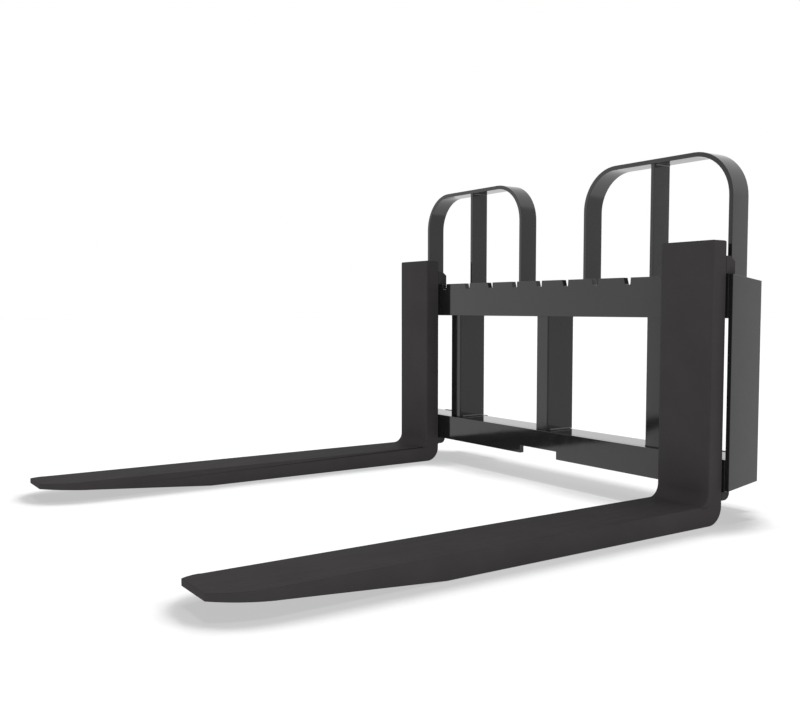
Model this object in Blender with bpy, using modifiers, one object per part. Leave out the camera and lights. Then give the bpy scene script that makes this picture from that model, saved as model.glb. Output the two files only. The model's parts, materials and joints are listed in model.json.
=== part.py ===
"""Pallet fork attachment: a hook-type fork carriage with two forks, guard hoops and latches.

World frame in metres: X runs across the carriage, the forks point to -Y and +Z is up. The blades
stand on Z = 0. Sizes that run front to back are measured from the shanks' back faces, which lie in
the plane Y = SHANK_BACK_Y, so that the origin is the bottom centre of the whole object.
"""

import math

import bmesh
import bpy
from mathutils import Matrix, Vector

MM = 0.001
WELD_DISTANCE = 0.01 * MM
GAP = 0.3 * MM  # between faces that are welded or rest on each other
PAST = 10 * MM  # how far a cutter runs past what it cuts

# Forks: side profile, seen from +X, and the rounded corners of the tip in plan
FORK_WIDTH = 127 * MM
SHANK_THICKNESS = 40 * MM
SHANK_TOP = 558.5 * MM
BLADE_HEIGHT = 41 * MM
FORK_DEPTH = 1067 * MM  # shank back to tip
TAPER_START = 679 * MM  # where the underside leaves the ground
TIP_UNDERSIDE = 29.5 * MM
HEEL_RADIUS = 36 * MM
CROTCH_RADIUS = 26 * MM
TIP_RIGHT_RUN = 100 * MM
TIP_RIGHT_INSET = 32 * MM
TIP_LEFT_RUN = 32 * MM
TIP_LEFT_INSET = 9 * MM

# Carriage bars and the latch notches along the top one
BAR_FACE = 1.5 * MM  # front faces, behind the shank backs
BAR_THICKNESS = 12.7 * MM
TOP_BAR_LOW = 407.2 * MM
TOP_BAR_HIGH = 493.5 * MM
BOTTOM_BAR_LOW = 64.5 * MM
BOTTOM_BAR_HIGH = 128.6 * MM
NOTCH_WIDTH = 19.2 * MM  # at the bar's top edge
NOTCH_DEPTH = 15.5 * MM
NOTCH_LEFT_LEAN = 3.5 * MM  # how far the walls come in towards the bottom
NOTCH_RIGHT_LEAN = 0.7 * MM
NOTCH_RADIUS = 3 * MM
NOTCH_PLACES = (89.5 * MM, 184.5 * MM, 279.5 * MM, 381.5 * MM, 469.5 * MM)  # and one at X = 0
RELEASE_GAP_WIDTH = 128.4 * MM  # cut-out through which a fork's lower hook lifts off
RELEASE_GAP_HEIGHT = 19 * MM

# End plates, uprights and the two rails between them
FRAME_WIDTH = 1095 * MM
END_PLATE_THICKNESS = 9.5 * MM
END_PLATE_REAR = 93.2 * MM
END_PLATE_FRONT_LOW = 66.8 * MM
END_PLATE_REAR_LOW = 78.7 * MM
END_PLATE_REAR_HIGH = 481.4 * MM
UPRIGHT_SPACING = 345 * MM
UPRIGHT_WIDTH = 41 * MM
UPRIGHT_DEPTH = 85 * MM
UPRIGHT_WALL = 4.8 * MM
UPRIGHT_RADIUS = 3 * MM
UPRIGHT_INNER_RADIUS = 1 * MM
RAIL_THICKNESS = 9.5 * MM
RAIL_REAR = 93 * MM
TOP_RAIL_HIGH = 470 * MM

# Machine side: the saddle that hangs on a coupler's top edge and the slotted plates for its wedges
SADDLE_WIDTH = 1000 * MM
SADDLE_FLAT_END = 108 * MM
SADDLE_REAR = 152 * MM
SADDLE_SHOULDER = 448 * MM
SADDLE_LIP_LOW = 418 * MM
WEDGE_PLATE_WIDTH = 180 * MM
WEDGE_PLATE_X = 410 * MM
WEDGE_PLATE_FLAT_END = 106 * MM
WEDGE_PLATE_REAR = 150 * MM
WEDGE_PLATE_LOW = 100 * MM
WEDGE_SLOT_LENGTH = 70 * MM
WEDGE_SLOT_WIDTH = 30 * MM
GUSSET_THICKNESS = 8 * MM
GUSSET_FRONT = 32 * MM
GUSSET_LOW = 84 * MM

# Guard hoops of bent flat bar, each with a middle post
HOOP_INNER_X = 108.3 * MM
HOOP_OUTER_X = 514.7 * MM
HOOP_TOP = 747 * MM
HOOP_RADIUS = 96 * MM
GUARD_BAR_WIDTH = 50.4 * MM
GUARD_BAR_THICKNESS = 9.5 * MM
GUARD_FRONT = 40.9 * MM

# Hooks on the back of each shank
HOOK_CLEARANCE = 0.7 * MM
UPPER_HOOK_REAR = 27 * MM
UPPER_HOOK_HIGH = 529 * MM
UPPER_HOOK_LIP_LOW = 481 * MM
UPPER_HOOK_CHAMFER_Y = 13 * MM
UPPER_HOOK_CHAMFER_Z = 518 * MM
LOWER_HOOK_REAR = 24 * MM
LOWER_HOOK_LOW = 46.5 * MM
LOWER_HOOK_LIP_HIGH = 78 * MM
LOWER_HOOK_RADIUS = 14 * MM

# Latch: a sprung pin through the upper hook, drawn at rest in its raised place
LATCH_Y = BAR_FACE + BAR_THICKNESS / 2
PIN_RADIUS = 6.35 * MM
PIN_BORE_RADIUS = 6.7 * MM
PIN_CHAMFER = 1.5 * MM
PIN_LOW = 494.6 * MM
PIN_SHOULDER = 541.5 * MM
STEM_RADIUS = 4 * MM
STEM_TOP = 552.7 * MM
TAB_THICKNESS = 3 * MM
TAB_WIDTH = 22 * MM
TAB_FRONT = 1 * MM
TAB_REAR = 39 * MM
TAB_STEM_HOLE_RADIUS = 4.3 * MM
BRIDGE_WIDTH = 48 * MM
BRIDGE_DEPTH = 12.2 * MM
BRIDGE_THICKNESS = 3.5 * MM
BRIDGE_TOP = 557.5 * MM
BRIDGE_CORNER_RADIUS = 5 * MM
SPRING_RADIUS = 6 * MM
SPRING_WIRE_RADIUS = 0.7 * MM
SPRING_TURNS = 4
SPRING_POINTS_A_TURN = 14
DETENT_Z = 511 * MM
DETENT_RADIUS = 4 * MM
DETENT_HOLE_RADIUS = 4.3 * MM
DETENT_NOSE = 15 * MM
DETENT_HEAD = 26.4 * MM
DETENT_SOCKET_RADIUS = 2.2 * MM
DETENT_SOCKET_DEPTH = 4 * MM

ARC_STEPS = 14
ROUND_SIDES = 32

# Sizes that follow from the ones above
BAR_BACK = BAR_FACE + BAR_THICKNESS
RAIL_FRONT = BAR_BACK + GAP
INNER_WIDTH = FRAME_WIDTH - 2 * END_PLATE_THICKNESS
BOTTOM_RAIL_HIGH = BOTTOM_BAR_HIGH
TOP_RAIL_LOW = TOP_RAIL_HIGH - RAIL_THICKNESS
FORK_X = NOTCH_PLACES[-1]
SHANK_BACK_Y = (FORK_DEPTH - SADDLE_REAR) / 2

# Colour, roughness and metallic value of each finish
FINISHES = {
    "frame_paint": ((0.020, 0.020, 0.020), 0.25, 0.0),
    "guard_paint": ((0.018, 0.018, 0.018), 0.35, 0.0),
    "fork_paint": ((0.028, 0.025, 0.025), 0.45, 0.0),
    "zinc": ((0.55, 0.55, 0.53), 0.35, 1.0),
    "spring_steel": ((0.30, 0.30, 0.30), 0.30, 1.0),
    "black_oxide": ((0.03, 0.03, 0.035), 0.40, 1.0),
}

# Rotations that stand a flat outline up: its own X and Y become the plane's two axes
STAND_YZ = (math.pi / 2, 0, math.pi / 2)
STAND_XZ = (math.pi / 2, 0, 0)
LIE_XY = (0, 0, 0)


def clear_scene():
    for obj in list(bpy.data.objects):
        bpy.data.objects.remove(obj)


def new_collection(name):
    collection = bpy.data.collections.new(name)
    bpy.context.scene.collection.children.link(collection)
    return collection


def make_finish(name):
    colour, roughness, metallic = FINISHES[name]
    material = bpy.data.materials.new(name)
    material.use_nodes = True
    shader = material.node_tree.nodes["Principled BSDF"]
    shader.inputs["Base Color"].default_value = (*colour, 1)
    shader.inputs["Roughness"].default_value = roughness
    shader.inputs["Metallic"].default_value = metallic
    return material


clear_scene()
PARTS = new_collection("pallet_fork_attachment")
CUTTERS = new_collection("cutters")
MATERIALS = {name: make_finish(name) for name in FINISHES}


def empty(name, location, parent=None):
    obj = bpy.data.objects.new(name, None)
    PARTS.objects.link(obj)
    obj.location = location
    obj.parent = parent
    return obj


def place(obj, parent, finish, location, rotation=LIE_XY):
    """Put a piece, or a cutter when finish is None, under its parent."""
    obj.parent = parent
    obj.location = location
    obj.rotation_euler = rotation
    if finish is None:
        CUTTERS.objects.link(obj)
        obj.hide_render = True
        obj.display_type = "WIRE"
    else:
        PARTS.objects.link(obj)
        obj.data.materials.append(MATERIALS[finish])
    return obj


def box(name, low, high, parent, finish, rotation=LIE_XY):
    low, high = Vector(low), Vector(high)
    mesh = bpy.data.meshes.new(name)
    shape = bmesh.new()
    bmesh.ops.create_cube(shape, size=1, matrix=Matrix.Diagonal((*(high - low), 1)))
    shape.to_mesh(mesh)
    shape.free()
    return place(bpy.data.objects.new(name, mesh), parent, finish, (low + high) / 2, rotation)


def cylinder(name, radius, length, parent, finish, location, rotation=LIE_XY):
    mesh = bpy.data.meshes.new(name)
    shape = bmesh.new()
    bmesh.ops.create_cone(
        shape, cap_ends=True, segments=ROUND_SIDES, radius1=radius, radius2=radius, depth=length
    )
    shape.to_mesh(mesh)
    shape.free()
    mesh.shade_smooth()
    mesh.set_sharp_from_angle(angle=math.radians(40))
    return place(bpy.data.objects.new(name, mesh), parent, finish, location, rotation)


def curve_to_mesh(curve_object, name):
    """The curve object's evaluated shape as a welded mesh facing out."""
    bpy.context.scene.collection.objects.link(curve_object)
    evaluated = curve_object.evaluated_get(bpy.context.evaluated_depsgraph_get())
    mesh = bpy.data.meshes.new_from_object(evaluated)
    mesh.name = name
    mesh.materials.clear()
    shape = bmesh.new()
    shape.from_mesh(mesh)
    bmesh.ops.remove_doubles(shape, verts=shape.verts, dist=WELD_DISTANCE)
    bmesh.ops.recalc_face_normals(shape, faces=shape.faces)
    shape.to_mesh(mesh)
    shape.free()
    bpy.data.objects.remove(curve_object)
    return mesh


def plate(name, outlines, thickness, parent, finish, location=(0, 0, 0), rotation=STAND_YZ):
    """A flat piece from closed outlines, the first its edge and the rest its holes."""
    curve = bpy.data.curves.new(name, "CURVE")
    curve.dimensions = "2D"
    curve.fill_mode = "BOTH"
    curve.extrude = thickness / 2
    for outline in outlines:
        spline = curve.splines.new("POLY")
        spline.points.add(len(outline) - 1)
        for point, (u, v) in zip(spline.points, outline):
            point.co = (u, v, 0, 1)
        spline.use_cyclic_u = True
    mesh = curve_to_mesh(bpy.data.objects.new(name, curve), name)
    return place(bpy.data.objects.new(name, mesh), parent, finish, location, rotation)


def turned(name, profile, parent, finish, location, rotation=LIE_XY):
    """A round piece from its profile, (radius, height) points from the top down."""
    mesh = bpy.data.meshes.new(name)
    vertices = [(radius, 0, height) for radius, height in profile]
    edges = [(index, index + 1) for index in range(len(profile) - 1)]
    mesh.from_pydata(vertices, edges, [])
    obj = place(bpy.data.objects.new(name, mesh), parent, finish, location, rotation)
    screw = obj.modifiers.new("turn", "SCREW")
    screw.steps = screw.render_steps = ROUND_SIDES
    screw.use_merge_vertices = True
    screw.merge_threshold = WELD_DISTANCE
    return obj


def cut(obj, cutter):
    modifier = obj.modifiers.new(cutter.name, "BOOLEAN")
    modifier.operation = "DIFFERENCE"
    modifier.solver = "EXACT"
    modifier.object = cutter


def arc(centre, radius, start, end, steps=ARC_STEPS):
    """Points on a circle from one angle to another, in degrees."""
    angles = [math.radians(start + (end - start) * step / steps) for step in range(steps + 1)]
    return [
        (centre[0] + radius * math.cos(angle), centre[1] + radius * math.sin(angle))
        for angle in angles
    ]


def circle(centre, radius):
    return arc(centre, radius, 0, 360, ROUND_SIDES)[:-1]


def rounded_rectangle(u_low, u_high, v_low, v_high, radius, steps=4):
    corners = [
        (u_high - radius, v_high - radius, 0),
        (u_low + radius, v_high - radius, 90),
        (u_low + radius, v_low + radius, 180),
        (u_high - radius, v_low + radius, 270),
    ]
    return [
        point
        for u, v, start in corners
        for point in arc((u, v), radius, start, start + 90, steps)
    ]


def strip(path, thickness):
    """Outline of a bent plate: its outer face, and its inner face on the right of that path."""
    points = [Vector(point) for point in path]
    along = [(b - a).normalized() for a, b in zip(points, points[1:])]
    inner = []
    for index, point in enumerate(points):
        before = along[max(index - 1, 0)]
        after = along[min(index, len(along) - 1)]
        middle = (before + after).normalized()
        right = Vector((middle.y, -middle.x))
        inner.append(point + right * thickness / middle.dot(after))
    return [tuple(point) for point in points + inner[::-1]]


def notch_outline(x):
    """A notch open at the top, narrower at its rounded bottom."""
    left = x - NOTCH_WIDTH / 2
    right = x + NOTCH_WIDTH / 2
    corner_z = TOP_BAR_HIGH - NOTCH_DEPTH + NOTCH_RADIUS
    left_corner = (left + NOTCH_LEFT_LEAN + NOTCH_RADIUS, corner_z)
    right_corner = (right - NOTCH_RIGHT_LEAN - NOTCH_RADIUS, corner_z)
    outline = [(left, TOP_BAR_HIGH + PAST), (left, TOP_BAR_HIGH)]
    outline += arc(left_corner, NOTCH_RADIUS, 180, 270, 4)
    outline += arc(right_corner, NOTCH_RADIUS, 270, 360, 4)
    outline += [(right, TOP_BAR_HIGH), (right, TOP_BAR_HIGH + PAST)]
    return outline


def make_bars(frame):
    """The two carriage bars, with the latch notches and the release gap."""
    half = INNER_WIDTH / 2 - GAP
    top = box(
        "top_bar", (-half, BAR_FACE, TOP_BAR_LOW), (half, BAR_BACK, TOP_BAR_HIGH), frame, "frame_paint"
    )
    middle_y = (BAR_FACE + BAR_BACK) / 2
    mirrored = [-x for x in NOTCH_PLACES]
    for number, x in enumerate(sorted([*mirrored, 0, *NOTCH_PLACES])):
        notch = plate(
            f"notch_cutter_{number}",
            [notch_outline(x)],
            BAR_THICKNESS + 2 * PAST,
            frame,
            None,
            (0, middle_y, 0),
            STAND_XZ,
        )
        cut(top, notch)
    bottom = box(
        "bottom_bar",
        (-half, BAR_FACE, BOTTOM_BAR_LOW),
        (half, BAR_BACK, BOTTOM_BAR_HIGH),
        frame,
        "frame_paint",
    )
    release_gap = box(
        "release_gap_cutter",
        (-RELEASE_GAP_WIDTH / 2, BAR_FACE - PAST, BOTTOM_BAR_LOW - PAST),
        (RELEASE_GAP_WIDTH / 2, BAR_BACK + PAST, BOTTOM_BAR_LOW + RELEASE_GAP_HEIGHT),
        frame,
        None,
    )
    cut(bottom, release_gap)


def make_rails(frame):
    """The plates behind the bars that tie the end plates and the uprights together."""
    half = INNER_WIDTH / 2 - GAP
    for name, high in (("top_rail", TOP_RAIL_HIGH), ("bottom_rail", BOTTOM_RAIL_HIGH)):
        low = high - RAIL_THICKNESS
        box(name, (-half, RAIL_FRONT, low), (half, RAIL_REAR, high), frame, "frame_paint")


def make_end_plates(frame):
    outline = [
        (BAR_FACE, END_PLATE_FRONT_LOW),
        (END_PLATE_REAR, END_PLATE_REAR_LOW),
        (END_PLATE_REAR, END_PLATE_REAR_HIGH),
        (BAR_FACE, TOP_BAR_HIGH),
    ]
    x = (FRAME_WIDTH - END_PLATE_THICKNESS) / 2
    for side, sign in (("left", -1), ("right", 1)):
        plate(
            f"end_plate_{side}", [outline], END_PLATE_THICKNESS, frame, "frame_paint", (sign * x, 0, 0)
        )


def make_uprights(frame):
    """Open-ended rectangular tubes between the bottom rail and the top rail."""
    low = BOTTOM_RAIL_HIGH + GAP
    high = TOP_RAIL_LOW - GAP
    half = UPRIGHT_WIDTH / 2
    rear = RAIL_FRONT + UPRIGHT_DEPTH
    outer = rounded_rectangle(-half, half, RAIL_FRONT, rear, UPRIGHT_RADIUS)
    inner = rounded_rectangle(
        UPRIGHT_WALL - half,
        half - UPRIGHT_WALL,
        RAIL_FRONT + UPRIGHT_WALL,
        rear - UPRIGHT_WALL,
        UPRIGHT_INNER_RADIUS,
    )
    for side, sign in (("left", -1), ("centre", 0), ("right", 1)):
        middle = (sign * UPRIGHT_SPACING, 0, (low + high) / 2)
        plate(
            f"upright_{side}", [outer, inner], high - low, frame, "frame_paint", middle, LIE_XY
        )


def make_saddle(frame):
    """The lip that hangs over a coupler's top edge, behind the uprights."""
    path = [
        (RAIL_REAR + GAP, TOP_RAIL_HIGH),
        (SADDLE_FLAT_END, TOP_RAIL_HIGH),
        (SADDLE_REAR, SADDLE_SHOULDER),
        (SADDLE_REAR, SADDLE_LIP_LOW),
    ]
    plate("coupler_saddle", [strip(path, RAIL_THICKNESS)], SADDLE_WIDTH, frame, "frame_paint")


def make_wedge_plates(frame):
    """Sloping plates whose slots take a coupler's wedges, each on two gussets."""
    drop = BOTTOM_RAIL_HIGH - WEDGE_PLATE_LOW
    run = WEDGE_PLATE_REAR - WEDGE_PLATE_FLAT_END
    slope = math.atan2(drop, run)
    path = [
        (RAIL_REAR + GAP, BOTTOM_RAIL_HIGH),
        (WEDGE_PLATE_FLAT_END, BOTTOM_RAIL_HIGH),
        (WEDGE_PLATE_REAR, WEDGE_PLATE_LOW),
    ]
    outline = strip(path, RAIL_THICKNESS)
    underside_start, underside_end = outline[4], outline[3]
    lift = GAP / math.cos(slope)
    gusset = [
        (GUSSET_FRONT, GUSSET_LOW),
        (underside_end[0] - 2 * RAIL_THICKNESS, GUSSET_LOW),
        (underside_end[0], underside_end[1] - lift),
        (underside_start[0], underside_start[1] - lift),
        (GUSSET_FRONT, BOTTOM_RAIL_HIGH - RAIL_THICKNESS - lift),
    ]
    for side, sign in (("left", -1), ("right", 1)):
        x = sign * WEDGE_PLATE_X
        wedge_plate = plate(
            f"wedge_plate_{side}", [outline], WEDGE_PLATE_WIDTH, frame, "frame_paint", (x, 0, 0)
        )
        middle_y = (WEDGE_PLATE_FLAT_END + WEDGE_PLATE_REAR) / 2
        middle_z = (BOTTOM_RAIL_HIGH + WEDGE_PLATE_LOW) / 2
        half = Vector((WEDGE_SLOT_LENGTH / 2, WEDGE_SLOT_WIDTH / 2, 2 * RAIL_THICKNESS))
        middle = Vector((x, middle_y, middle_z))
        slot = box(
            f"wedge_slot_cutter_{side}", middle - half, middle + half, frame, None, (-slope, 0, 0)
        )
        cut(wedge_plate, slot)
        for place_name, offset in (("inner", -sign), ("outer", sign)):
            reach = WEDGE_PLATE_WIDTH / 2 - GUSSET_THICKNESS
            plate(
                f"gusset_{side}_{place_name}",
                [gusset],
                GUSSET_THICKNESS,
                frame,
                "frame_paint",
                (x + offset * reach, 0, 0),
            )


def make_guards(frame):
    """Two hoops of flat bar, bent the easy way, and the post in the middle of each."""
    foot = TOP_RAIL_HIGH + GAP
    middle_y = GUARD_FRONT + GUARD_BAR_WIDTH / 2
    low_corner = (HOOP_INNER_X + HOOP_RADIUS, HOOP_TOP - HOOP_RADIUS)
    high_corner = (HOOP_OUTER_X - HOOP_RADIUS, HOOP_TOP - HOOP_RADIUS)
    path = [(HOOP_INNER_X, foot)]
    path += arc(low_corner, HOOP_RADIUS, 180, 90)
    path += arc(high_corner, HOOP_RADIUS, 90, 0)
    path += [(HOOP_OUTER_X, foot)]
    outline = strip(path, GUARD_BAR_THICKNESS)
    middle_x = (HOOP_INNER_X + HOOP_OUTER_X) / 2
    post_high = HOOP_TOP - GUARD_BAR_THICKNESS - GAP
    for side, sign in (("left", -1), ("right", 1)):
        mirrored = [(sign * u, v) for u, v in outline]
        plate(
            f"guard_hoop_{side}",
            [mirrored],
            GUARD_BAR_WIDTH,
            frame,
            "guard_paint",
            (0, middle_y, 0),
            STAND_XZ,
        )
        x = sign * middle_x
        box(
            f"guard_post_{side}",
            (x - GUARD_BAR_THICKNESS / 2, GUARD_FRONT, foot),
            (x + GUARD_BAR_THICKNESS / 2, GUARD_FRONT + GUARD_BAR_WIDTH, post_high),
            frame,
            "guard_paint",
        )


def tip_cutter(name, side, run, inset, parent):
    """Rounds one corner of a blade's tip in plan: side is 1 at +X and -1 at -X."""
    radius = (run**2 + inset**2) / (2 * inset)
    sweep = math.degrees(math.asin(run / radius))
    edge = FORK_WIDTH / 2
    rounding = arc((edge - radius, run - FORK_DEPTH), radius, 0, -sweep)
    outline = rounding + [
        (edge - inset, -FORK_DEPTH - PAST),
        (edge + PAST, -FORK_DEPTH - PAST),
        (edge + PAST, run - FORK_DEPTH),
    ]
    mirrored = [(side * x, y) for x, y in outline]
    height = BLADE_HEIGHT + 2 * PAST
    return plate(name, [mirrored], height, parent, None, (0, 0, BLADE_HEIGHT / 2), LIE_XY)


def make_fork(side, fork_frame):
    """One forged fork: shank, heel and tapered blade."""
    profile = [(0, SHANK_TOP)]
    profile += arc((-HEEL_RADIUS, HEEL_RADIUS), HEEL_RADIUS, 0, -90)
    profile += [
        (-TAPER_START, 0),
        (-FORK_DEPTH, TIP_UNDERSIDE),
        (-FORK_DEPTH, BLADE_HEIGHT),
    ]
    crotch = (-SHANK_THICKNESS - CROTCH_RADIUS, BLADE_HEIGHT + CROTCH_RADIUS)
    profile += arc(crotch, CROTCH_RADIUS, -90, 0)
    profile += [(-SHANK_THICKNESS, SHANK_TOP)]
    fork = plate(f"fork_{side}", [profile], FORK_WIDTH, fork_frame, "fork_paint")
    cut(fork, tip_cutter(f"tip_cutter_{side}_1", 1, TIP_RIGHT_RUN, TIP_RIGHT_INSET, fork_frame))
    cut(fork, tip_cutter(f"tip_cutter_{side}_2", -1, TIP_LEFT_RUN, TIP_LEFT_INSET, fork_frame))


def make_upper_hook(side, fork_frame):
    """Block that hangs on the top bar, bored for the latch pin and its detent screw."""
    seat = TOP_BAR_HIGH + HOOK_CLEARANCE
    lip_face = BAR_BACK + HOOK_CLEARANCE
    profile = [
        (GAP, seat),
        (lip_face, seat),
        (lip_face, UPPER_HOOK_LIP_LOW),
        (UPPER_HOOK_REAR, UPPER_HOOK_LIP_LOW),
        (UPPER_HOOK_REAR, UPPER_HOOK_CHAMFER_Z),
        (UPPER_HOOK_CHAMFER_Y, UPPER_HOOK_HIGH),
        (GAP, UPPER_HOOK_HIGH),
    ]
    hook = plate(f"upper_hook_{side}", [profile], FORK_WIDTH, fork_frame, "fork_paint")
    bore_low = UPPER_HOOK_LIP_LOW + PAST
    bore_high = UPPER_HOOK_HIGH + PAST
    bore = cylinder(
        f"pin_bore_cutter_{side}",
        PIN_BORE_RADIUS,
        bore_high - bore_low,
        fork_frame,
        None,
        (0, LATCH_Y, (bore_low + bore_high) / 2),
    )
    cut(hook, bore)
    hole_high = UPPER_HOOK_REAR + PAST
    hole = cylinder(
        f"detent_hole_cutter_{side}",
        DETENT_HOLE_RADIUS,
        hole_high - LATCH_Y,
        fork_frame,
        None,
        (0, (hole_high + LATCH_Y) / 2, DETENT_Z),
        STAND_XZ,
    )
    cut(hook, hole)


def make_lower_hook(side, fork_frame):
    """Hook that reaches under the bottom bar and keeps the fork against it."""
    seat = BOTTOM_BAR_LOW - HOOK_CLEARANCE
    lip_face = BAR_BACK + HOOK_CLEARANCE
    corner = (LOWER_HOOK_REAR - LOWER_HOOK_RADIUS, LOWER_HOOK_LOW + LOWER_HOOK_RADIUS)
    profile = [(GAP, LOWER_HOOK_LOW)]
    profile += arc(corner, LOWER_HOOK_RADIUS, -90, 0)
    profile += [
        (LOWER_HOOK_REAR, LOWER_HOOK_LIP_HIGH),
        (lip_face, LOWER_HOOK_LIP_HIGH),
        (lip_face, seat),
        (GAP, seat),
    ]
    plate(f"lower_hook_{side}", [profile], FORK_WIDTH, fork_frame, "fork_paint")


def make_latch_fixed(side, fork_frame):
    """The bridge that holds the spring down, the spring and the detent screw."""
    half = BRIDGE_WIDTH / 2
    foot = UPPER_HOOK_HIGH + GAP
    low_corner = (BRIDGE_CORNER_RADIUS - half, BRIDGE_TOP - BRIDGE_CORNER_RADIUS)
    high_corner = (half - BRIDGE_CORNER_RADIUS, BRIDGE_TOP - BRIDGE_CORNER_RADIUS)
    path = [(-half, foot)]
    path += arc(low_corner, BRIDGE_CORNER_RADIUS, 180, 90, 4)
    path += arc(high_corner, BRIDGE_CORNER_RADIUS, 90, 0, 4)
    path += [(half, foot)]
    plate(
        f"latch_bridge_{side}",
        [strip(path, BRIDGE_THICKNESS)],
        BRIDGE_DEPTH,
        fork_frame,
        "fork_paint",
        (0, 2 * GAP + BRIDGE_DEPTH / 2, 0),
        STAND_XZ,
    )

    low = PIN_SHOULDER + TAB_THICKNESS + 2 * GAP + SPRING_WIRE_RADIUS
    high = BRIDGE_TOP - BRIDGE_THICKNESS - GAP - SPRING_WIRE_RADIUS
    curve = bpy.data.curves.new(f"latch_spring_{side}", "CURVE")
    curve.dimensions = "3D"
    curve.bevel_depth = SPRING_WIRE_RADIUS
    curve.bevel_resolution = 1
    curve.use_fill_caps = True
    count = SPRING_TURNS * SPRING_POINTS_A_TURN
    spline = curve.splines.new("POLY")
    spline.points.add(count)
    for index, point in enumerate(spline.points):
        angle = 2 * math.pi * index / SPRING_POINTS_A_TURN
        height = low + (high - low) * index / count
        point.co = (SPRING_RADIUS * math.cos(angle), SPRING_RADIUS * math.sin(angle), height, 1)
    spring = bpy.data.objects.new(f"latch_spring_{side}", curve)
    place(spring, fork_frame, "spring_steel", (0, LATCH_Y, 0))

    socket_floor = DETENT_HEAD - DETENT_SOCKET_DEPTH
    nose_radius = DETENT_RADIUS / 2
    profile = [
        (0, socket_floor),
        (DETENT_SOCKET_RADIUS, socket_floor),
        (DETENT_SOCKET_RADIUS, DETENT_HEAD),
        (DETENT_RADIUS, DETENT_HEAD),
        (DETENT_RADIUS, DETENT_NOSE + nose_radius),
        (nose_radius, DETENT_NOSE),
        (0, DETENT_NOSE),
    ]
    turned(
        f"detent_screw_{side}",
        profile,
        fork_frame,
        "black_oxide",
        (0, 0, DETENT_Z),
        (-math.pi / 2, 0, 0),
    )


def make_latch_moving(side, latch_frame):
    """The stepped pin and the tab that lifts it; their frame sits on the pin's axis."""
    profile = [
        (0, STEM_TOP),
        (STEM_RADIUS, STEM_TOP),
        (STEM_RADIUS, PIN_SHOULDER),
        (PIN_RADIUS, PIN_SHOULDER),
        (PIN_RADIUS, PIN_LOW + PIN_CHAMFER),
        (PIN_RADIUS - PIN_CHAMFER, PIN_LOW),
        (0, PIN_LOW),
    ]
    turned(f"latch_pin_{side}", profile, latch_frame, "zinc", (0, 0, 0))
    half = TAB_WIDTH / 2
    outline = rounded_rectangle(-half, half, TAB_FRONT - LATCH_Y, TAB_REAR - LATCH_Y, half / 2)
    stem_hole = circle((0, 0), TAB_STEM_HOLE_RADIUS)
    middle = PIN_SHOULDER + GAP + TAB_THICKNESS / 2
    plate(
        f"latch_tab_{side}",
        [outline, stem_hole],
        TAB_THICKNESS,
        latch_frame,
        "zinc",
        (0, 0, middle),
        LIE_XY,
    )


def main():
    frame = empty("carriage_frame", (0, SHANK_BACK_Y, 0))
    make_bars(frame)
    make_rails(frame)
    make_end_plates(frame)
    make_uprights(frame)
    make_saddle(frame)
    make_wedge_plates(frame)
    make_guards(frame)
    for side, sign in (("left", -1), ("right", 1)):
        fork_frame = empty(f"fork_slide_{side}", (sign * FORK_X, SHANK_BACK_Y, 0))
        make_fork(side, fork_frame)
        make_upper_hook(side, fork_frame)
        make_lower_hook(side, fork_frame)
        make_latch_fixed(side, fork_frame)
        latch_frame = empty(f"latch_slide_{side}", (0, LATCH_Y, 0), fork_frame)
        make_latch_moving(side, latch_frame)


main()
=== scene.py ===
"""Looks of the pallet fork attachment: painted skins, weld beads, latch hardware, light and camera.

Everything is in metres in the CAD frame: X across the carriage, the forks point to -Y, +Z up.
"""

import json
import math

import bmesh
import bpy
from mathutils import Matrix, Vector, noise


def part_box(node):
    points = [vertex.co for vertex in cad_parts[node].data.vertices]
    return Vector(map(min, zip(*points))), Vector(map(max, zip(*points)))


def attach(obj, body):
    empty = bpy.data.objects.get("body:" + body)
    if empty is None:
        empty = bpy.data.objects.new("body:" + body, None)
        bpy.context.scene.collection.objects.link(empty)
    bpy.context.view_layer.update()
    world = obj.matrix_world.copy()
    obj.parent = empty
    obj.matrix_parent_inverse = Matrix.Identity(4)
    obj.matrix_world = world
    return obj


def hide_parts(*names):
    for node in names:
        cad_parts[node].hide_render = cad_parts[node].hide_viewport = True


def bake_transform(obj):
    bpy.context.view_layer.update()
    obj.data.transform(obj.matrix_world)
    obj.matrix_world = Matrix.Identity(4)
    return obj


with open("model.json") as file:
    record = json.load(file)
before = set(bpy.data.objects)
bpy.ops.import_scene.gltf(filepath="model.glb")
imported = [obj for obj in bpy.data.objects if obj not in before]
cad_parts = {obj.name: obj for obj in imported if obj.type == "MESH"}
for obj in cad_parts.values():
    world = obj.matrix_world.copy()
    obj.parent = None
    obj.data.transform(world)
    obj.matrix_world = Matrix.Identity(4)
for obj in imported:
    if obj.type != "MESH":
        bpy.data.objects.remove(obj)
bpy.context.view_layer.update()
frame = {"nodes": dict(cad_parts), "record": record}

MM = 0.001
SIDES = ("left", "right")

LEFT = Vector((-1, 0, 0))
RIGHT = Vector((1, 0, 0))
BACK = Vector((0, 1, 0))
UP = Vector((0, 0, 1))
DOWN = Vector((0, 0, -1))

# Camera: place, and how far it turns to the left of +Y and down from level
CAMERA_PLACE = (1.6635, -1.0786, 0.4265)
CAMERA_YAW = math.radians(55.81)
CAMERA_PITCH = math.radians(3.43)
CAMERA_LENS = 41.4  # mm, on the sensor below
SENSOR_WIDTH = 36
CLIP_START = 0.05
CLIP_END = 200

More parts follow.
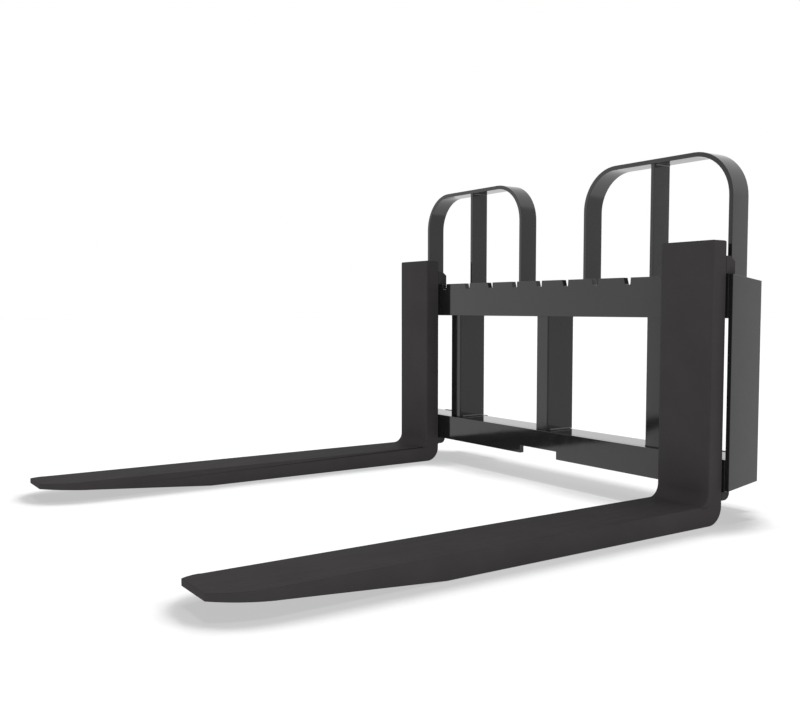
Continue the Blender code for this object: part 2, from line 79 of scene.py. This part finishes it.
# Studio: its brightness towards directions in degrees from +Y, positive towards +X
AROUND_STRENGTH = 1.2
AROUND = (
    (-180, 0.34),
    (-147, 0.36),
    (-140, 0.76),
    (-90, 0.84),
    (0, 0.92),
    (35, 0.92),
    (39, 0.5),
    (110, 0.52),
    (150, 0.42),
    (180, 0.34),
)
OVERHEAD_STRENGTH = 9.4
OVERHEAD_ANGLE = math.radians(11)

# Floor: part of its white glows and part is lit from above; close to the object its colour is
# painted darker, a painted contact shadow
FLOOR_SIZE = 60.0
FLOOR_GLOW = 0.52
FLOOR_WHITE = 0.15
FLOOR_ROUGHNESS = 0.9
# Painted contact shadow: how far it reaches, its darkest colour, and the openness range it spans
PAINTED_SHADOW_REACH = 0.12
PAINTED_SHADOW_DARKEST = 0.12
PAINTED_SHADOW_OPEN = (0.8, 0.97)  # openness at which the painted shadow is darkest and where it is gone

# Skins: triangles that lie this nearly in one plane are joined into whole flat faces
WELD_DISTANCE = 0.01 * MM
FLAT_ANGLE = math.radians(0.4)

# Rounded edges: which edges are rounded, and how round they are on each kind of piece
BEVEL_ANGLE = math.radians(35)
BEVEL_SEGMENTS = 3
PLATE_EDGE = 0.8 * MM
TUBE_EDGE = 0.4 * MM
GUARD_EDGE = 0.7 * MM
HOOK_EDGE = 1.5 * MM
BRIDGE_EDGE = 0.4 * MM
PIN_EDGE = 0.3 * MM
TAB_EDGE = 0.5 * MM

# Forks: round along the front and top, less so below and behind, and fine at the tip
FORK_SEGMENTS = 4
FORK_TOP_EDGE = 3.5 * MM
FORK_SOLE_EDGE = 1.5 * MM
TIP_EDGE = 1.2 * MM
TIP_LENGTH = 101 * MM
FACING_LEAST = 0.05  # how far a normal leans to the front or up if its face is on that side

# Weld beads: ripples along them and slow wandering, as parts of their size
RIPPLES_LEAST = 2
RIPPLE_PITCH = 3.2 * MM
RIPPLE_STEPS = 4
RIPPLE_DEPTH = 0.09
RIPPLE_MEAN = 0.7
RIPPLE_PHASE = 0.4  # radians
WANDER = 0.07
WANDER_LENGTH = 11 * MM

# Their cross-section, and their rounded ends
BEAD_ARC_STEPS = 6
BEAD_BULGE = 0.16  # past the straight line between the legs' ends, in legs
BEAD_ROOT = 0.35 * MM  # how far the bead reaches into both walls
END_ROUNDING = 0.8  # length of a rounded end, in legs
END_LEAST = 0.02  # square of the size that a rounded end starts with

# Legs of the beads along the walls that they join
FRAME_LEG = 5 * MM
FLARE_LEG = 6.5 * MM
GUARD_LEG = 4 * MM
POST_TOP_LEG = 3.5 * MM
HOOK_LEG = 6 * MM
GUSSET_LEG = 4 * MM
BRIDGE_LEG = 2.5 * MM
SEAM_WIDTH = 3 * MM
SEAM_HEIGHT = 1.5 * MM

# Where the beads start and stop
BEAD_INSET = 1 * MM
TUBE_RADIUS = 3 * MM  # the uprights' rounded corners
FLARE_INSET = 2 * MM  # from a tube's side to the root of the groove at its rounded corner
SEAM_INSET = 4 * MM
GUSSET_FRONT_INSET = 3 * MM
GUSSET_REAR_INSET = 6 * MM
HOOK_INSET = FORK_SOLE_EDGE + 2 * MM
BRIDGE_GAP = 2 * MM
STITCH_LENGTH = 80 * MM
STITCH_PLACES = (-0.44, -0.17, 0.17, 0.44)  # X of their middles
BAR_WELD_HEIGHTS = {"top_bar": (0.409, 0.455), "bottom_bar": (0.086, 0.115)}  # Z of their ends

# Middle range of a noise pattern, which its dark and light patches are spread over
PATTERN_DARK = 0.3
PATTERN_LIGHT = 0.7

# Latch spring and detent screw
SPRING_TURNS = 5
SPRING_RADIUS = 6 * MM
SPRING_STEPS = 28
WIRE_RADIUS = 0.62 * MM
WIRE_SIDES = 8
SCREW_STEPS = 48
SCREW_RADIUS = 4 * MM
SCREW_CHAMFER = 0.5 * MM
SOCKET_APOTHEM = 2 * MM
SOCKET_DEPTH = 4 * MM
HEXAGON_STEP = math.pi / 3


# Camera, floor and light


def make_camera():
    camera = bpy.data.objects.new("camera", bpy.data.cameras.new("camera"))
    bpy.context.scene.collection.objects.link(camera)
    camera.location = CAMERA_PLACE
    camera.rotation_euler = (math.pi / 2 - CAMERA_PITCH, 0, CAMERA_YAW)
    camera.data.lens = CAMERA_LENS
    camera.data.sensor_width = SENSOR_WIDTH
    camera.data.clip_start = CLIP_START
    camera.data.clip_end = CLIP_END
    bpy.context.scene.camera = camera


def floor_material():
    """Nearly white, with a painted shadow: its colour is darker where the object stands close above
    it.
    """
    material = bpy.data.materials.new("floor")
    material.use_nodes = True
    tree = material.node_tree
    shader = tree.nodes["Principled BSDF"]
    shader.inputs["Roughness"].default_value = FLOOR_ROUGHNESS
    shader.inputs["Specular IOR Level"].default_value = 0.0
    shader.inputs["Emission Color"].default_value = (1, 1, 1, 1)
    shader.inputs["Emission Strength"].default_value = FLOOR_GLOW
    # Painted shadow: the ambient occlusion darkens the floor's colour near the object
    openness = tree.nodes.new("ShaderNodeAmbientOcclusion")
    openness.inputs["Distance"].default_value = PAINTED_SHADOW_REACH
    white = tree.nodes.new("ShaderNodeMapRange")
    white.interpolation_type = "SMOOTHSTEP"
    white.inputs["From Min"].default_value = PAINTED_SHADOW_OPEN[0]
    white.inputs["From Max"].default_value = PAINTED_SHADOW_OPEN[1]
    white.inputs["To Min"].default_value = FLOOR_WHITE * PAINTED_SHADOW_DARKEST
    white.inputs["To Max"].default_value = FLOOR_WHITE
    tree.links.new(openness.outputs["AO"], white.inputs["Value"])
    tree.links.new(white.outputs["Result"], shader.inputs["Base Color"])
    return material


def make_floor():
    """A pale floor that takes a soft cast shadow plus a painted contact shadow, and stays out of
    the object's reflections.
    """
    shape = bmesh.new()
    bmesh.ops.create_grid(shape, x_segments=1, y_segments=1, size=FLOOR_SIZE / 2)
    mesh = mesh_of("floor", shape)
    mesh.materials.append(floor_material())
    floor = bpy.data.objects.new("floor", mesh)
    bpy.context.scene.collection.objects.link(floor)
    floor.visible_glossy = False
    return floor


def make_overhead(floor):
    """The soft light from above that draws the shadow on the floor, and lights only the floor."""
    lamp = bpy.data.lights.new("overhead", "SUN")
    lamp.energy = OVERHEAD_STRENGTH
    lamp.angle = OVERHEAD_ANGLE
    overhead = bpy.data.objects.new("overhead", lamp)
    bpy.context.scene.collection.objects.link(overhead)
    lit = bpy.data.collections.new("lit_by_overhead")
    lit.objects.link(floor)
    overhead.light_linking.receiver_collection = lit


def brightness_around(tree):
    """The studio's brightness by compass direction, from the stops in AROUND."""
    direction = tree.nodes.new("ShaderNodeTexCoord")
    separate = tree.nodes.new("ShaderNodeSeparateXYZ")
    tree.links.new(direction.outputs["Generated"], separate.inputs[0])
    turn = tree.nodes.new("ShaderNodeMath")
    turn.operation = "ARCTAN2"
    tree.links.new(separate.outputs["X"], turn.inputs[0])
    tree.links.new(separate.outputs["Y"], turn.inputs[1])
    along = tree.nodes.new("ShaderNodeMapRange")
    along.inputs["From Min"].default_value = -math.pi
    along.inputs["From Max"].default_value = math.pi
    tree.links.new(turn.outputs[0], along.inputs["Value"])
    ramp = tree.nodes.new("ShaderNodeValToRGB")
    stops = ramp.color_ramp.elements
    while len(stops) < len(AROUND):
        stops.new(1.0)
    for stop, (degrees, brightness) in zip(stops, AROUND):
        stop.position = (degrees + 180) / 360
        stop.color = (brightness, brightness, brightness, 1)
    tree.links.new(along.outputs["Result"], ramp.inputs["Fac"])
    return ramp.outputs["Color"]


def make_studio():
    """A studio all round whose brightness changes with direction, white behind the object."""
    world = bpy.data.worlds.new("studio")
    bpy.context.scene.world = world
    world.use_nodes = True
    tree = world.node_tree
    tree.nodes.clear()
    output = tree.nodes.new("ShaderNodeOutputWorld")
    studio = tree.nodes.new("ShaderNodeBackground")
    studio.inputs["Strength"].default_value = AROUND_STRENGTH
    tree.links.new(brightness_around(tree), studio.inputs["Color"])
    backdrop = tree.nodes.new("ShaderNodeBackground")
    backdrop.inputs["Color"].default_value = (1, 1, 1, 1)
    path = tree.nodes.new("ShaderNodeLightPath")
    choose = tree.nodes.new("ShaderNodeMixShader")
    tree.links.new(path.outputs["Is Camera Ray"], choose.inputs[0])
    tree.links.new(studio.outputs[0], choose.inputs[1])
    tree.links.new(backdrop.outputs[0], choose.inputs[2])
    tree.links.new(choose.outputs[0], output.inputs["Surface"])


# Materials


class Nodes:
    """Short names for building one material's node tree."""

    def __init__(self, name):
        self.material = bpy.data.materials.new(name)
        self.material.use_nodes = True
        self.tree = self.material.node_tree
        self.shader = self.tree.nodes["Principled BSDF"]
        self.place = self.tree.nodes.new("ShaderNodeTexCoord").outputs["Object"]

    def link(self, output, socket):
        self.tree.links.new(output, socket)

    def stretched(self, scale):
        """The place on the object, scaled along each axis."""
        mapping = self.tree.nodes.new("ShaderNodeMapping")
        mapping.inputs["Scale"].default_value = scale
        self.link(self.place, mapping.inputs["Vector"])
        return mapping.outputs[0]

    def noise(self, scale, detail, roughness=0.5, place=None):
        node = self.tree.nodes.new("ShaderNodeTexNoise")
        node.inputs["Scale"].default_value = scale
        node.inputs["Detail"].default_value = detail
        node.inputs["Roughness"].default_value = roughness
        self.link(self.place if place is None else place, node.inputs["Vector"])
        return node.outputs["Fac"]

    def between(self, pattern, low, high):
        """The pattern's middle range, spread between two values."""
        node = self.tree.nodes.new("ShaderNodeMapRange")
        node.inputs["From Min"].default_value = PATTERN_DARK
        node.inputs["From Max"].default_value = PATTERN_LIGHT
        node.inputs["To Min"].default_value = low
        node.inputs["To Max"].default_value = high
        self.link(pattern, node.inputs["Value"])
        return node.outputs["Result"]

    def shades(self, pattern, colour, darkest, lightest):
        """The colour in patches, between two multiples of itself."""
        node = self.tree.nodes.new("ShaderNodeMix")
        node.data_type = "RGBA"
        node.inputs["A"].default_value = (*(value * darkest for value in colour), 1)
        node.inputs["B"].default_value = (*(min(value * lightest, 1) for value in colour), 1)
        self.link(self.between(pattern, 0, 1), node.inputs["Factor"])
        return node.outputs["Result"]

    def bump(self, height, depth, before=None):
        """A normal bent by the height, on top of the bump before it."""
        node = self.tree.nodes.new("ShaderNodeBump")
        node.inputs["Distance"].default_value = depth
        node.inputs["Strength"].default_value = 1
        self.link(height, node.inputs["Height"])
        if before is not None:
            self.link(before, node.inputs["Normal"])
        return node.outputs["Normal"]

    def finish(self, colour, roughness, normal):
        self.link(colour, self.shader.inputs["Base Color"])
        self.link(roughness, self.shader.inputs["Roughness"])
        self.link(normal, self.shader.inputs["Normal"])
        return self.material


def sheet_paint(name, colour, gloss, shine):
    """Smooth powder paint on plate: fine orange peel, and slow waves that bend its reflections."""
    nodes = Nodes(name)
    nodes.shader.inputs["Specular IOR Level"].default_value = shine
    tone = nodes.noise(scale=7, detail=4)
    haze = nodes.noise(scale=45, detail=5, roughness=0.6)
    waves = nodes.bump(nodes.noise(scale=16, detail=1), depth=0.12 * MM)
    peel = nodes.bump(nodes.noise(scale=620, detail=2), depth=0.012 * MM, before=waves)
    return nodes.finish(
        colour=nodes.shades(tone, colour, darkest=0.88, lightest=1.14),
        roughness=nodes.between(haze, gloss - 0.02, gloss + 0.04),
        normal=peel,
    )


def forged_paint(name, colour, gloss, shine):
    """Thin satin paint over forged steel: scale marks, grain and scuffs along the blade."""
    nodes = Nodes(name)
    nodes.shader.inputs["Specular IOR Level"].default_value = shine
    tone = nodes.noise(scale=9, detail=5, roughness=0.6)
    along_blade = nodes.stretched((1, 0.05, 1))
    scuffs = nodes.noise(scale=150, detail=3, roughness=0.6, place=along_blade)
    marks = nodes.noise(scale=38, detail=4, roughness=0.55)
    grain = nodes.noise(scale=420, detail=3, roughness=0.6)
    return nodes.finish(
        colour=nodes.shades(tone, colour, darkest=0.93, lightest=1.07),
        roughness=nodes.between(scuffs, gloss - 0.07, gloss + 0.07),
        normal=nodes.bump(grain, depth=0.05 * MM, before=nodes.bump(marks, depth=0.3 * MM)),
    )


def bare_metal(name, colour, gloss):
    """Plated or drawn metal: a faint brushed grain and patchy gloss."""
    nodes = Nodes(name)
    nodes.shader.inputs["Metallic"].default_value = 1.0
    tone = nodes.noise(scale=260, detail=3)
    haze = nodes.noise(scale=700, detail=3)
    lines = nodes.noise(scale=900, detail=2, place=nodes.stretched((1, 1, 0.1)))
    return nodes.finish(
        colour=nodes.shades(tone, colour, darkest=0.8, lightest=1.1),
        roughness=nodes.between(haze, gloss - 0.06, gloss + 0.1),
        normal=nodes.bump(lines, depth=0.02 * MM),
    )


def make_materials():
    """One material for each slot in the record."""
    frame_black = (0.013, 0.013, 0.013)
    guard_black = (0.014, 0.014, 0.014)
    fork_black = (0.0595, 0.0555, 0.057)
    return {
        "frame_paint": sheet_paint("frame_paint", frame_black, gloss=0.08, shine=0.7),
        "guard_paint": sheet_paint("guard_paint", guard_black, gloss=0.1, shine=0.74),
        "fork_paint": forged_paint("fork_paint", fork_black, gloss=0.6, shine=0.008),
        "zinc": bare_metal("zinc", (0.62, 0.61, 0.56), gloss=0.3),
        "spring_steel": bare_metal("spring_steel", (0.34, 0.34, 0.34), gloss=0.25),
        "black_oxide": bare_metal("black_oxide", (0.035, 0.035, 0.038), gloss=0.35),
    }


# Pieces and skins


def body_of(node):
    bodies = frame["record"]["behaviour"]["bodies"]
    return next(body for body, members in bodies.items() if node in members)


def slot_of(node):
    return next(row["material_slot"] for row in frame["record"]["subparts"] if row["node"] == node)


def mesh_of(name, shape):
    """The shape as a mesh; the shape itself is used up."""
    mesh = bpy.data.meshes.new(name)
    shape.to_mesh(mesh)
    shape.free()
    return mesh


def add_piece(name, mesh, slot, body=None):
    """A visible piece, attached to its body if one is given."""
    piece = bpy.data.objects.new(name, mesh)
    bpy.context.scene.collection.objects.link(piece)
    mesh.materials.append(MATERIALS[slot])
    if body is not None:
        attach(piece, body)
    return piece


def node_shape(node):
    """The node's own shape with whole flat faces."""
    shape = bmesh.new()
    shape.from_mesh(frame["nodes"][node].data)
    bmesh.ops.remove_doubles(shape, verts=shape.verts, dist=WELD_DISTANCE)
    bmesh.ops.dissolve_limit(shape, angle_limit=FLAT_ANGLE, verts=shape.verts, edges=shape.edges)
    for face in shape.faces:
        face.smooth = True
    return shape


def add_skin(node, shape, rounding, segments=BEVEL_SEGMENTS, by_weight=False):
    """A rounded piece from the node's shape, shown in its place."""
    mesh = mesh_of(f"{node}_skin", shape)
    if "custom_normal" in mesh.attributes:
        mesh.attributes.remove(mesh.attributes["custom_normal"])
    skin = add_piece(f"{node}_skin", mesh, slot_of(node), body_of(node))
    bevel = skin.modifiers.new("rounded_edges", "BEVEL")
    bevel.width = rounding
    bevel.segments = segments
    bevel.limit_method = "WEIGHT" if by_weight else "ANGLE"
    bevel.angle_limit = BEVEL_ANGLE
    bevel.miter_outer = "MITER_ARC"
    bevel.use_clamp_overlap = not by_weight
    skin.modifiers.new("flat_faces", "WEIGHTED_NORMAL")
    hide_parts(node)


def add_fork_skin(node):
    """A fork with a rounding of its own for each of its edges."""
    shape = node_shape(node)
    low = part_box(node)[0]
    weights = shape.edges.layers.float.new("bevel_weight_edge")
    for edge in shape.edges:
        if edge.calc_face_angle(0) < BEVEL_ANGLE:
            continue
        normals = [face.normal for face in edge.link_faces]
        middle = (edge.verts[0].co + edge.verts[1].co) / 2
        if middle.y < low.y + TIP_LENGTH:
            rounding = TIP_EDGE
        elif any(normal.y < -FACING_LEAST or normal.z > FACING_LEAST for normal in normals):
            rounding = FORK_TOP_EDGE
        else:
            rounding = FORK_SOLE_EDGE
        edge[weights] = rounding / FORK_TOP_EDGE
    add_skin(node, shape, FORK_TOP_EDGE, FORK_SEGMENTS, by_weight=True)


def make_skins():
    """A skin for every node apart from the springs and the screws."""
    single = {
        "top_bar": PLATE_EDGE,
        "bottom_bar": PLATE_EDGE,
        "top_rail": PLATE_EDGE,
        "bottom_rail": PLATE_EDGE,
        "coupler_saddle": PLATE_EDGE,
        "upright_left": TUBE_EDGE,
        "upright_centre": TUBE_EDGE,
        "upright_right": TUBE_EDGE,
    }
    for node, rounding in single.items():
        add_skin(node, node_shape(node), rounding)
    paired = {
        "end_plate_{}": PLATE_EDGE,
        "wedge_plate_{}": PLATE_EDGE,
        "gusset_{}_inner": PLATE_EDGE,
        "gusset_{}_outer": PLATE_EDGE,
        "guard_hoop_{}": GUARD_EDGE,
        "guard_post_{}": GUARD_EDGE,
        "upper_hook_{}": HOOK_EDGE,
        "lower_hook_{}": HOOK_EDGE,
        "latch_bridge_{}": BRIDGE_EDGE,
        "latch_pin_{}": PIN_EDGE,
        "latch_tab_{}": TAB_EDGE,
    }
    for side in SIDES:
        for pattern, rounding in paired.items():
            node = pattern.format(side)
            add_skin(node, node_shape(node), rounding)
        add_fork_skin(f"fork_{side}")


# Rings of vertices, for the beads, the springs and the screws


def add_ring(shape, centre, first, second, radii):
    """Vertices round the centre, evenly turned from first towards second."""
    ring = []
    for index, radius in enumerate(radii):
        angle = 2 * math.pi * index / len(radii)
        way = first * math.cos(angle) + second * math.sin(angle)
        ring.append(shape.verts.new(centre + way * radius))
    return ring


def join_rings(shape, rings):
    """Faces between neighbouring rings, and one across each end."""
    sides = len(rings[0])
    for near, far in zip(rings, rings[1:]):
        for side in range(sides):
            after = (side + 1) % sides
            shape.faces.new((near[side], near[after], far[after], far[side]))
    shape.faces.new(rings[0][::-1])
    shape.faces.new(rings[-1])


def smooth_sides(shape):
    """Smooth shading on the four-sided faces, which leaves the ends flat."""
    for face in shape.faces:
        face.smooth = len(face.verts) == 4


# Weld beads


def bead_outline(first, second, size):
    """Points of a bead's cross-section from its corner: along one wall, over and down the other."""
    middle = (first + second).normalized()
    points = [-BEAD_ROOT * (first.normalized() + second.normalized())]
    for step in range(BEAD_ARC_STEPS + 1):
        part = step / BEAD_ARC_STEPS
        chord = first * (1 - part) + second * part
        bulge = BEAD_BULGE * math.sin(math.pi * part) * (first.length + second.length) / 2
        points.append(chord * size + middle * bulge * size)
    return points


def add_bead(shape, start, end, first, second):
    """A rippled bead along the line where two walls meet; first and second are its legs."""
    start, end = Vector(start), Vector(end)
    along = (end - start).normalized()
    length = (end - start).length
    count = max(round(length / RIPPLE_PITCH), RIPPLES_LEAST) * RIPPLE_STEPS
    leg = max(first.length, second.length)
    rings = []
    for index in range(count + 1):
        distance = length * index / count
        place = start + along * distance
        ripple = abs(math.sin(math.pi * index / RIPPLE_STEPS + RIPPLE_PHASE))
        wander = noise.noise(place / WANDER_LENGTH) * WANDER
        to_end = min(distance, length - distance) / (END_ROUNDING * leg)
        taper = math.sqrt(max(1 - (1 - min(to_end, 1)) ** 2, END_LEAST))
        size = (1 + RIPPLE_DEPTH * (ripple - RIPPLE_MEAN) + wander) * taper
        outline = bead_outline(first, second, size)
        rings.append([shape.verts.new(place + point) for point in outline])
    join_rings(shape, rings)


def add_fillet(shape, start, end, first, second, leg):
    """A bead with equal legs along the two directions."""
    add_bead(shape, start, end, first * leg, second * leg)


def add_seam(shape, start, end, across, out):
    """A low rounded bead over a butt joint, as two beads back to back."""
    for side in (across, -across):
        add_bead(shape, start, end, side * SEAM_WIDTH, out * SEAM_HEIGHT)


def ways_out(low, high):
    """The left and right sides of a box, each with the direction out of the box."""
    return ((low[0], LEFT), (high[0], RIGHT))


def ways_in(low, high):
    """The left and right ends of a box, each with the direction into the box."""
    return ((low[0], RIGHT), (high[0], LEFT))


def tube_welds(shape):
    """Round each upright: to the upper bar's back, and to the rails above and below it."""
    bar_low, bar_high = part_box("top_bar")
    rail_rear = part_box("top_rail")[1][1]
    for name in ("left", "centre", "right"):
        low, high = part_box(f"upright_{name}")
        for x, out in ways_out(low, high):
            root = x - out.x * FLARE_INSET
            start = (root, bar_high[1], bar_low[2] + FRAME_LEG)
            end = (root, bar_high[1], high[2])
            add_fillet(shape, start, end, out, BACK, FLARE_LEG)
            for z, way in ((low[2], UP), (high[2], DOWN)):
                start = (x, low[1] + TUBE_RADIUS, z)
                end = (x, rail_rear - BEAD_INSET, z)
                add_fillet(shape, start, end, out, way, FRAME_LEG)


def rail_end_welds(shape, low, high, z, way):
    """A rail's ends to the end plates, on its upper or lower face."""
    for x, inward in ways_in(low, high):
        start = (x, low[1] + BEAD_INSET, z)
        end = (x, high[1] - BEAD_INSET, z)
        add_fillet(shape, start, end, inward, way, FRAME_LEG)


def rail_stitches(shape, y, z, way):
    """A rail to the back of its bar, in stitches."""
    for centre in STITCH_PLACES:
        start = (centre - STITCH_LENGTH / 2, y, z)
        end = (centre + STITCH_LENGTH / 2, y, z)
        add_fillet(shape, start, end, BACK, way, FRAME_LEG)


def rail_welds(shape):
    """Each rail above and below, apart from stitches along the lower bar's top edge."""
    bar_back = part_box("top_bar")[1][1]
    for rail in ("top_rail", "bottom_rail"):
        low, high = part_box(rail)
        for z, way in ((high[2], UP), (low[2], DOWN)):
            rail_end_welds(shape, low, high, z, way)
            if rail == "top_rail" or way is DOWN:
                rail_stitches(shape, bar_back, z, way)


def bar_welds(shape):
    """Each bar's back to the end plates, up its ends."""
    for bar, (bottom, top) in BAR_WELD_HEIGHTS.items():
        low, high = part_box(bar)
        for x, inward in ways_in(low, high):
            add_fillet(shape, (x, high[1], bottom), (x, high[1], top), inward, BACK, FRAME_LEG)


def rear_welds(shape):
    """The saddle and the wedge plates to the rails' rear edges, and the gussets below them."""
    for node in ("coupler_saddle", "wedge_plate_left", "wedge_plate_right"):
        low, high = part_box(node)
        rail_low, rail_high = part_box("top_rail" if node == "coupler_saddle" else "bottom_rail")
        for z, out in ((rail_high[2], UP), (rail_low[2], DOWN)):
            start = (low[0] + SEAM_INSET, rail_high[1], z)
            end = (high[0] - SEAM_INSET, rail_high[1], z)
            add_seam(shape, start, end, BACK, out)
    rail_low, rail_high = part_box("bottom_rail")
    for side in SIDES:
        for place in ("inner", "outer"):
            low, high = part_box(f"gusset_{side}_{place}")
            for x, out in ways_out(low, high):
                start = (x, low[1] + GUSSET_FRONT_INSET, rail_low[2])
                end = (x, rail_high[1] - GUSSET_REAR_INSET, rail_low[2])
                add_fillet(shape, start, end, out, DOWN, GUSSET_LEG)


def guard_welds(shape):
    """Round the feet of the hoops and posts, and where each post meets its hoop."""
    rail_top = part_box("top_rail")[1][2]
    for side in SIDES:
        hoop_low, hoop_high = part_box(f"guard_hoop_{side}")
        post_low, post_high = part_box(f"guard_post_{side}")
        thickness = post_high[0] - post_low[0]
        feet = (
            (hoop_low[0], hoop_low[0] + thickness),
            (hoop_high[0] - thickness, hoop_high[0]),
            (post_low[0], post_high[0]),
        )
        front, rear = post_low[1] + BEAD_INSET, post_high[1] - BEAD_INSET
        for left, right in feet:
            for x, out in ((left, LEFT), (right, RIGHT)):
                start, end = (x, front, rail_top), (x, rear, rail_top)
                add_fillet(shape, start, end, out, UP, GUARD_LEG)
        for x, out in ways_out(post_low, post_high):
            start, end = (x, front, post_high[2]), (x, rear, post_high[2])
            add_fillet(shape, start, end, out, DOWN, POST_TOP_LEG)


def fork_welds(side, shape):
    """The hooks to the shank's back, and the feet of the latch bridge to the upper hook."""
    shank_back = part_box(f"fork_{side}")[1][1]
    upper_low, upper_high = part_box(f"upper_hook_{side}")
    lower_low, lower_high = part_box(f"lower_hook_{side}")
    bridge_low, bridge_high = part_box(f"latch_bridge_{side}")
    top = upper_high[2]
    across = (
        (upper_low[0] + HOOK_INSET, bridge_low[0] - BRIDGE_GAP, top, UP),
        (bridge_high[0] + BRIDGE_GAP, upper_high[0] - HOOK_INSET, top, UP),
        (lower_low[0] + HOOK_INSET, lower_high[0] - HOOK_INSET, lower_low[2], DOWN),
    )
    for left, right, z, way in across:
        start, end = (left, shank_back, z), (right, shank_back, z)
        add_fillet(shape, start, end, BACK, way, HOOK_LEG)
    for x, out in ways_out(bridge_low, bridge_high):
        start = (x, bridge_low[1] + BEAD_INSET, top)
        end = (x, bridge_high[1] - BEAD_INSET, top)
        add_fillet(shape, start, end, out, UP, BRIDGE_LEG)


def finish_beads(name, shape, slot, body):
    bmesh.ops.recalc_face_normals(shape, faces=shape.faces)
    smooth_sides(shape)
    add_piece(name, mesh_of(name, shape), slot, body)


def make_welds():
    """The beads of the frame, of the guards and of each fork, as one piece each."""
    shape = bmesh.new()
    for weld in (tube_welds, rail_welds, bar_welds, rear_welds):
        weld(shape)
    finish_beads("frame_welds", shape, "frame_paint", "carriage")
    shape = bmesh.new()
    guard_welds(shape)
    finish_beads("guard_welds", shape, "guard_paint", "carriage")
    for side in SIDES:
        shape = bmesh.new()
        fork_welds(side, shape)
        finish_beads(f"hook_welds_{side}", shape, "fork_paint", f"{side}_fork")


# Latch hardware


def make_spring(side):
    """A coiled wire between the bridge and the tab, as one helix of even pitch."""
    low, high = (Vector(corner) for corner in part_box(f"latch_spring_{side}"))
    pin_low, pin_high = (Vector(corner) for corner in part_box(f"latch_pin_{side}"))
    axis = (pin_low + pin_high) / 2
    bottom, top = low.z + WIRE_RADIUS, high.z - WIRE_RADIUS
    count = SPRING_TURNS * SPRING_STEPS
    shape = bmesh.new()
    rings = []
    for index in range(count + 1):
        angle = 2 * math.pi * index / SPRING_STEPS
        out = Vector((math.cos(angle), math.sin(angle), 0))
        height = bottom + (top - bottom) * index / count
        centre = Vector((axis.x, axis.y, height)) + out * SPRING_RADIUS
        rings.append(add_ring(shape, centre, out, UP, [WIRE_RADIUS] * WIRE_SIDES))
    join_rings(shape, rings)
    smooth_sides(shape)
    bmesh.ops.recalc_face_normals(shape, faces=shape.faces)
    name = f"latch_spring_{side}_coil"
    spring = add_piece(name, mesh_of(name, shape), "spring_steel")
    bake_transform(spring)
    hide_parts(f"latch_spring_{side}")


def circle(radius):
    return [radius] * SCREW_STEPS


def hexagon(apothem):
    """Distances from the centre to a hexagon's sides, all round."""
    radii = []
    for step in range(SCREW_STEPS):
        angle = 2 * math.pi * step / SCREW_STEPS
        off_middle = (angle + HEXAGON_STEP / 2) % HEXAGON_STEP - HEXAGON_STEP / 2
        radii.append(apothem / math.cos(off_middle))
    return radii


def make_screw(side):
    """A socket set screw: pointed nose, chamfered head and a hexagonal socket."""
    node = f"detent_screw_{side}"
    low, high = (Vector(corner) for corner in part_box(node))
    axis = (low + high) / 2
    head = high.y
    outlines = (
        (low.y, circle(SCREW_RADIUS / 2)),
        (low.y + SCREW_RADIUS / 2, circle(SCREW_RADIUS)),
        (head - SCREW_CHAMFER, circle(SCREW_RADIUS)),
        (head, circle(SCREW_RADIUS - SCREW_CHAMFER)),
        (head, hexagon(SOCKET_APOTHEM + SCREW_CHAMFER / 2)),
        (head - SCREW_CHAMFER / 2, hexagon(SOCKET_APOTHEM)),
        (head - SOCKET_DEPTH, hexagon(SOCKET_APOTHEM)),
    )
    shape = bmesh.new()
    rings = []
    for y, radii in outlines:
        rings.append(add_ring(shape, Vector((axis.x, y, axis.z)), RIGHT, UP, radii))
    join_rings(shape, rings)
    bmesh.ops.recalc_face_normals(shape, faces=shape.faces)
    mesh = mesh_of(f"{node}_socket", shape)
    screw = add_piece(f"{node}_socket", mesh, "black_oxide", f"{side}_fork")
    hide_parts(node)


# Main


MATERIALS = make_materials()
make_camera()
make_overhead(make_floor())
make_studio()
make_skins()
make_welds()
for side_name in SIDES:
    make_spring(side_name)
    make_screw(side_name)
bpy.context.scene.view_settings.view_transform = "Standard"
